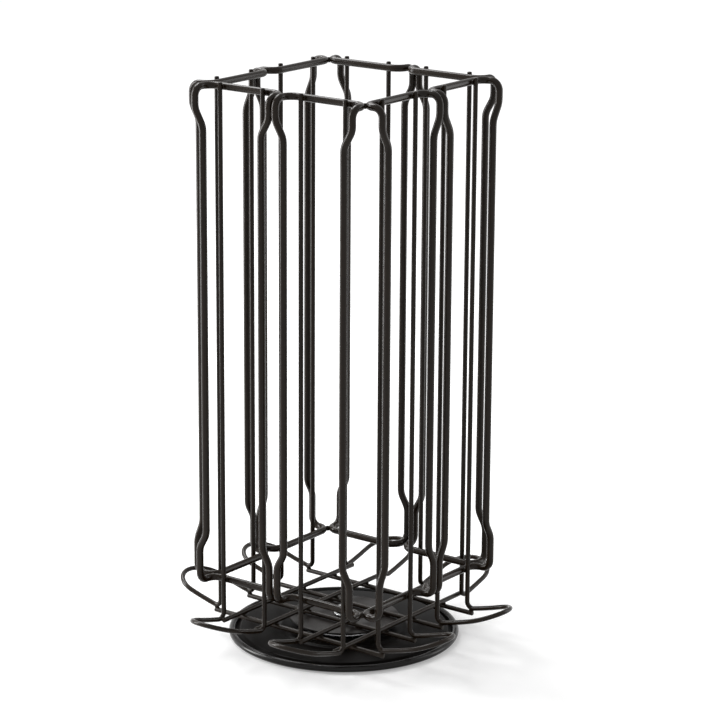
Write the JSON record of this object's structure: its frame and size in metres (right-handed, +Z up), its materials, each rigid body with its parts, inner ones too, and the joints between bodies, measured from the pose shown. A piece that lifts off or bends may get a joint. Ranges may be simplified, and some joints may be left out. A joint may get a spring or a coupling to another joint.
{
  "type": "rotating coffee capsule holder",
  "caption": "Black wire carousel for coffee capsules: vertical wire tracks with bent-up trays round a square open well, turning on a round pressed steel base with a rolled rim.",
  "frame": {"origin": "on the turning axis, at the level of the feet's undersides", "axes": "+Z up along the turning axis; X and Y square to the four faces of the rack"},
  "size_m": [0.1816, 0.1816, 0.3104],
  "materials": {
    "rail_wire": "semi-gloss black powder coat",
    "tray_wire": "semi-gloss black powder coat",
    "floor_wire": "semi-gloss black powder coat",
    "hub_paint": "semi-gloss black powder coat",
    "pan_paint": "semi-gloss brown-black powder coat on pressed sheet",
    "pivot_steel": "zinc plated",
    "race_steel": "ground",
    "ball_steel": "polished",
    "cage_brass": "pressed sheet",
    "foot_rubber": "matt black"
  },
  "bodies": {
    "base": {"base_pan": "pan_paint", "rubber_foot_1": "foot_rubber", "rubber_foot_2": "foot_rubber", "rubber_foot_3": "foot_rubber", "rubber_foot_4": "foot_rubber", "pivot_bolt": "pivot_steel", "pivot_washer": "pivot_steel", "lock_nut": "pivot_steel", "lower_race": "race_steel"},
    "ball_ring": {"ball_cage": "cage_brass", "ball_1": "ball_steel", "ball_2": "ball_steel", "ball_3": "ball_steel", "ball_4": "ball_steel", "ball_5": "ball_steel", "ball_6": "ball_steel", "ball_7": "ball_steel", "ball_8": "ball_steel", "ball_9": "ball_steel", "ball_10": "ball_steel", "ball_11": "ball_steel", "ball_12": "ball_steel"},
    "rack": {"upper_race": "race_steel", "hub_plate": "hub_paint", "lower_floor_wire_1": "floor_wire", "lower_floor_wire_2": "floor_wire", "lower_floor_wire_3": "floor_wire", "lower_floor_wire_4": "floor_wire", "upper_floor_wire_1": "floor_wire", "upper_floor_wire_2": "floor_wire", "upper_floor_wire_3": "floor_wire", "upper_floor_wire_4": "floor_wire", "tray_wire_1": "tray_wire", "tray_wire_2": "tray_wire", "tray_wire_3": "tray_wire", "tray_wire_4": "tray_wire", "tray_wire_5": "tray_wire", "tray_wire_6": "tray_wire", "tray_wire_7": "tray_wire", "tray_wire_8": "tray_wire", "rail_loop_1": "rail_wire", "rail_loop_2": "rail_wire", "rail_loop_3": "rail_wire", "rail_loop_4": "rail_wire", "rail_loop_5": "rail_wire", "rail_loop_6": "rail_wire", "rail_loop_7": "rail_wire", "rail_loop_8": "rail_wire"}
  },
  "joints": [
    {"name": "rack_turn", "type": "hinge", "parent": "base", "child": "rack", "pos_m": [0, 0, 0.00705], "axis": [0, 0, 1], "continuous": true},
    {"name": "ball_ring_turn", "type": "hinge", "parent": "base", "child": "ball_ring", "pos_m": [0, 0, 0.00705], "axis": [0, 0, 1], "continuous": true}
  ],
  "couplings": [
    {"joint": "ball_ring_turn", "follows": "rack_turn", "ratio": 0.5}
  ]
}
